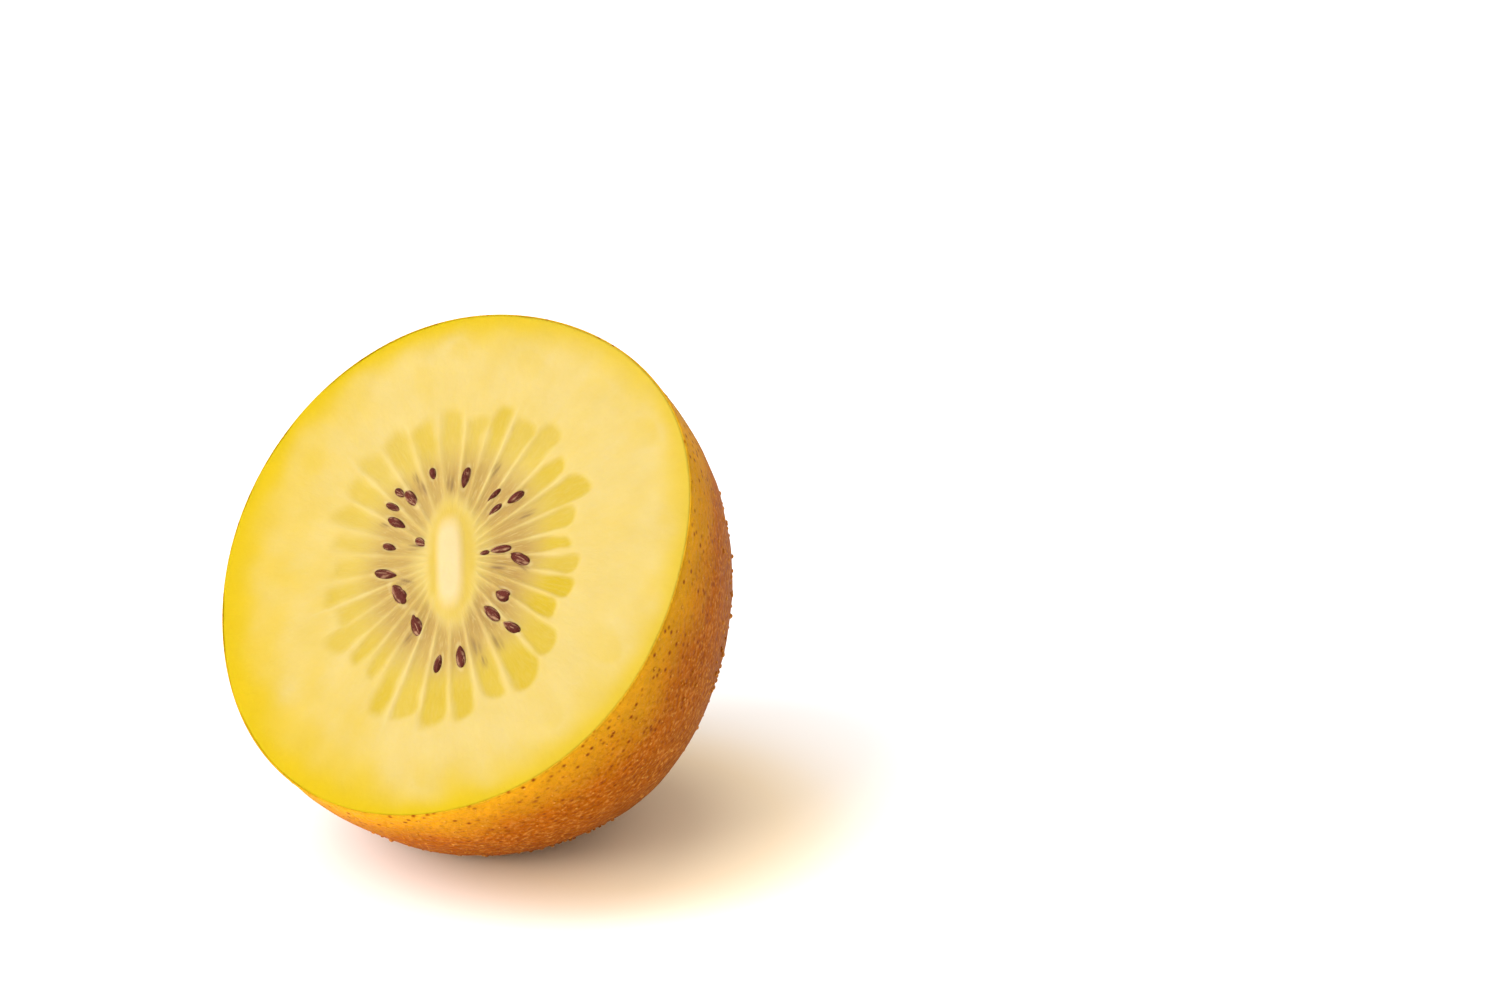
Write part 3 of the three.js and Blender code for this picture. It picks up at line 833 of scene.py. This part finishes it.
def buildBumps():
    rng = np.random.default_rng(8)
    spots = []
    for depth, angle, wide, tall in bumpList():
        radius = float(skinRadius(depth))
        out = turnToRow @ skinNormal(radius, angle, depth)
        place = toRow(ovalPlace(radius, angle, -depth))
        if place[2] > bumps["clear"]:
            spots.append((place, out, wide, tall, rng.uniform(0, 6.28), rng.uniform(*bumps["stretch"])))
    mesh, each = copiesMesh("skinBumps", domeShape(), len(spots))
    places = readPlaces(mesh).reshape(len(spots), each, 3)
    # painted highlight: share of the pale colour, growing towards each dome's top
    tip = 0.75 * np.clip(places[:, :, 2], 0, 1) ** 2
    for i, (place, out, wide, tall, spin, stretch) in enumerate(spots):
        way = np.array(Vector(out).to_track_quat("Z", "Y").to_matrix() @ Matrix.Rotation(spin, 3, "Z"))
        shape = places[i] * np.array([wide * stretch, wide, tall + bumps["root"]])
        places[i] = shape @ way.T + place - out * bumps["root"]
    places = places.reshape(-1, 3)
    own = (places - moveToRow) @ turnToRow
    addMask(mesh, "depth", np.clip(-own[:, 2] / fruit["halfLength"], 0, 1))
    addMask(mesh, "ringMask", np.zeros(len(own)))
    addMask(mesh, "tip", tip.ravel())
    writePlaces(mesh, places * mm)
    finishPiece("skinBumps", mesh, materialSkin("skinBumpTipHighlights", True))


# Seeds
seedLook = {
    "thick": 0.8,
    "sink": 0.22,
    "dark": (0.032, 0.005, 0.003),
    "red": (0.1, 0.015, 0.008),
    "pale": (0.36, 0.2, 0.11),
    "grainScales": (900, 3000, 3800),
    "bump": (0.7, 0.00012),
    "gloss": 0.1,
    "glossTint": (1.0, 0.8, 0.7),
}


def materialSeed():
    material, nodes, links, shader = newMaterial("seedGloss")
    grain = grainNode(nodes, *seedLook["grainScales"])
    stripes = streakNoise(nodes, links, 1.1, 2)
    colour = mixColour(nodes, links, grain["Mottle"], seedLook["dark"], seedLook["red"])
    pale = rampNode(nodes, links, stripes, ((0.6, 0.0), (0.67, 1.0)))
    pale = timesNode(nodes, links, pale, grain["Grain"])
    colour = mixColour(nodes, links, pale, colour, seedLook["pale"])
    part = rampNode(nodes, links, grain["Mottle"], ((0.48, 0.0), (0.6, 0.75)))
    edge = timesNode(nodes, links, attributeNode(nodes, "seedEdge"), part)
    colour = mixColour(nodes, links, edge, colour, seedLook["pale"])
    links.new(colour, shader.inputs["Base Color"])
    rough = mathNode(nodes, links, "MULTIPLY_ADD", grain["Grain"], 0.25, 0.32)
    links.new(rough, shader.inputs["Roughness"])
    height = mathNode(nodes, links, "MULTIPLY_ADD", stripes, 1.5, grain["Pits"])
    links.new(bumpNode(nodes, links, height, *seedLook["bump"]), shader.inputs["Normal"])
    setFinish(shader, seedLook)
    return material


def buildSeeds():
    bm = bmesh.new()
    streaks, edges = [], []
    for index, (x, y, length, width, way) in enumerate(seeds):
        made = bmesh.ops.create_uvsphere(bm, u_segments=28, v_segments=18, radius=1,
                                         matrix=Matrix.Rotation(math.pi / 2, 4, "Y"))
        for v in made["verts"]:
            streaks += [v.co.x * 0.7 + 9 * index, v.co.y * 3, v.co.z * 3]
            edges.append(max(0, math.hypot(v.co.x, v.co.y) - 0.86) / 0.14)
            along = -v.co.x  # a drop, pointed at one end, with fine ridges
            narrow = (1 + 0.18 * along) * (1 - 0.35 * max(0, -along) ** 3)
            ridge = 1 + 0.02 * math.cos(9 * math.atan2(v.co.z, v.co.y))
            v.co = Vector((v.co.x * length / 2, v.co.y * narrow * ridge * width / 2,
                           v.co.z * narrow * ridge * min(width, seedLook["thick"]) / 2))
        spin = Matrix.Translation((x, y, -seedLook["sink"])) @ Matrix.Rotation(math.radians(way), 4, "Z")
        bmesh.ops.transform(bm, matrix=spin, verts=made["verts"])
    mesh = smoothMesh(bm, "kiwiSeeds")
    addMask(mesh, "seedEdge", np.array(edges))
    mesh.attributes.new("streak", "FLOAT_VECTOR", "POINT").data.foreach_set("vector", streaks)
    writePlaces(mesh, toRow(readPlaces(mesh)) * mm)
    finishPiece("kiwiSeeds", mesh, materialSeed())


# Dry sepals
calyx = {
    "count": 5,
    "start": 0.5,
    "length": 4.2,
    "width": 3.3,
    "thick": 0.5,
    "curl": 0.35,
    "turn": 20,  # degrees
    "gap": 0.3,
    "pad": (3.3, 2.7, 0.6),  # radius below, radius above, height
    "scar": (1.2, 0.85, 1.0),
    "scarMiddle": 0.7,
    "dark": (0.05, 0.02, 0.008),
    "brown": (0.27, 0.12, 0.04),
    "straw": (0.55, 0.32, 0.12),
    "grainScales": (500, 1800, 1200),
    "bump": (0.9, 0.0004),
    "roughness": 0.85,
}


def materialCalyx():
    material, nodes, links, shader = newMaterial("calyxDry")
    grain = grainNode(nodes, *calyx["grainScales"])
    colour = rampNode(nodes, links, grain["Mottle"],
                      ((0.3, calyx["dark"]), (0.5, calyx["brown"]), (0.72, calyx["straw"])))
    links.new(colour, shader.inputs["Base Color"])
    shader.inputs["Roughness"].default_value = calyx["roughness"]
    links.new(bumpNode(nodes, links, grain["Grain"], *calyx["bump"]), shader.inputs["Normal"])
    return material


def buildCalyx():
    bm = bmesh.new()
    rng = np.random.default_rng(31)
    for index in range(calyx["count"]):
        made = bmesh.ops.create_grid(bm, x_segments=18, y_segments=12, size=1)
        phase = rng.uniform(0, 6.28, 4)
        for v in made["verts"]:
            out = (v.co.x + 1) / 2
            broad = calyx["width"] / 2 * math.sin(math.pi * min(0.08 + 0.88 * out, 1)) ** 0.55
            reach = calyx["start"] + out * (calyx["length"] - calyx["start"])
            side = v.co.y * broad
            crease = 0.16 * math.sin(5 * side + phase[0]) * math.sin(2.1 * reach + phase[1])
            height = 0.35 + calyx["curl"] * out ** 3 + 0.9 * (side / calyx["width"]) ** 2 + crease
            v.co = Vector((reach + 0.12 * math.sin(6 * v.co.y + phase[2]) * out, side, height))
        turn = Matrix.Rotation(math.radians(calyx["turn"] + 360 * index / calyx["count"]), 3, "Z")
        bmesh.ops.rotate(bm, verts=made["verts"], cent=(0, 0, 0), matrix=turn)
    bmesh.ops.solidify(bm, geom=bm.faces[:], thickness=calyx["thick"])
    low, high, tall = calyx["pad"]
    bmesh.ops.create_cone(bm, cap_ends=True, segments=36, radius1=low, radius2=high, depth=tall,
                          matrix=Matrix.Translation((0, 0, tall / 2)))
    low, high, tall = calyx["scar"]
    scar = bmesh.ops.create_cone(bm, cap_ends=True, segments=24, radius1=low, radius2=high, depth=tall,
                                 matrix=Matrix.Translation((0, 0, calyx["scarMiddle"])))
    for v in scar["verts"]:
        turn = math.atan2(v.co.y, v.co.x)
        v.co.x *= 1 + 0.12 * math.sin(3 * turn)
        v.co.y *= 1 + 0.1 * math.cos(4 * turn)
    bmesh.ops.recalc_face_normals(bm, faces=bm.faces)
    mesh = smoothMesh(bm, "dryCalyx")
    places = readPlaces(mesh)
    under = -fruit["halfLength"] + fruit["hollow"] - calyx["gap"]
    places = places * np.array([1, -1, -1]) + np.array([0, 0, under])
    writePlaces(mesh, toRow(places) * mm)
    finishPiece("dryCalyx", mesh, materialCalyx(), ("dry_calyx",))


# Studio: white floor with painted warm bounce light near the fruit, soft light, camera
studio = {
    "azimuth": 34.0,  # degrees
    "elevation": 22.0,
    "distance": 450,  # mm, as the next two
    "right": 29.89,
    "up": 5.51,
    "lens": 108,
    "sensor": 36,
    "floorHalf": 3,  # m
    "floorRough": 0.9,
    "floorGloss": 0.1,
    # painted bounce light: warm floor tints round this place, shown in the fruit's shadow
    "paintedBounceMiddle": (0.012, 0.008, 0),
    "paintedBounceTints": ((0.017, (0.99, 0.82, 0.57)), (0.025, (0.95, 0.885, 0.8)), (0.036, (0.92, 0.915, 0.905))),
    "world": 0.76,
    "aim": (0, 0, 0.02),
}

# Name, place, size and power of each soft light
lights = (
    ("keyLight", (-0.42, -0.8, 0.68), 1.1, 16.2),
    ("topLight", (-0.25, 0.0, 1.1), 1.0, 6.5),
    ("frontLight", (-0.2, -1.0, 0.3), 0.6, 4.5),
)


def buildStudio():
    bm = bmesh.new()
    bmesh.ops.create_grid(bm, x_segments=1, y_segments=1, size=studio["floorHalf"])
    mesh = bpy.data.meshes.new("floor")
    bm.to_mesh(mesh)
    bm.free()
    floor = bpy.data.objects.new("floor", mesh)
    bpy.context.scene.collection.objects.link(floor)
    material, nodes, links, shader = newMaterial("floorWhite")
    # painted bounce light: the floor is tinted warmer close to the fruit, standing in for light off its
    # skin, and the tint shows in the shadow
    away = nodes.new("ShaderNodeVectorMath")
    away.operation = "DISTANCE"
    away.inputs[1].default_value = studio["paintedBounceMiddle"]
    links.new(nodes.new("ShaderNodeTexCoord").outputs["Object"], away.inputs[0])
    tint = rampNode(nodes, links, away.outputs["Value"], studio["paintedBounceTints"])
    links.new(tint, shader.inputs["Base Color"])
    shader.inputs["Roughness"].default_value = studio["floorRough"]
    shader.inputs["Specular IOR Level"].default_value = studio["floorGloss"]
    mesh.materials.append(material)
    world = bpy.data.worlds.new("studioWorld")
    world.use_nodes = True
    sky = world.node_tree.nodes["Background"]
    sky.inputs["Color"].default_value = (1, 1, 1, 1)
    sky.inputs["Strength"].default_value = studio["world"]
    bpy.context.scene.world = world
    for name, place, size, energy in lights:
        lamp = bpy.data.lights.new(name, "AREA")
        lamp.shape = "DISK"
        lamp.size = size
        lamp.energy = energy
        light = bpy.data.objects.new(name, lamp)
        light.location = place
        light.rotation_euler = (Vector(studio["aim"]) - Vector(place)).to_track_quat("-Z", "Y").to_euler()
        bpy.context.scene.collection.objects.link(light)
    print("studio set:", len(lights), "lights")


def buildCamera():
    a, e = math.radians(studio["azimuth"]), math.radians(studio["elevation"])
    right = Vector((math.cos(a), math.sin(a), 0))
    back = Vector((math.sin(a) * math.cos(e), -math.cos(a) * math.cos(e), math.sin(e)))
    up = back.cross(right)
    cutMiddle = Vector(moveToRow)
    place = cutMiddle + right * studio["right"] + up * studio["up"] + back * studio["distance"]
    lens = bpy.data.cameras.new("camera")
    lens.lens = studio["lens"]
    lens.sensor_width = studio["sensor"]
    camera = bpy.data.objects.new("camera", lens)
    camera.matrix_world = Matrix.Translation(place * mm) @ Matrix((right, up, back)).transposed().to_4x4()
    bpy.context.scene.collection.objects.link(camera)
    bpy.context.scene.camera = camera
    print("camera set")


buildFlesh()
buildSkin()
buildBumps()
buildSeeds()
buildCalyx()
buildStudio()
buildCamera()
bpy.context.scene.view_settings.view_transform = "Standard"
bpy.context.scene.view_settings.look = "None"
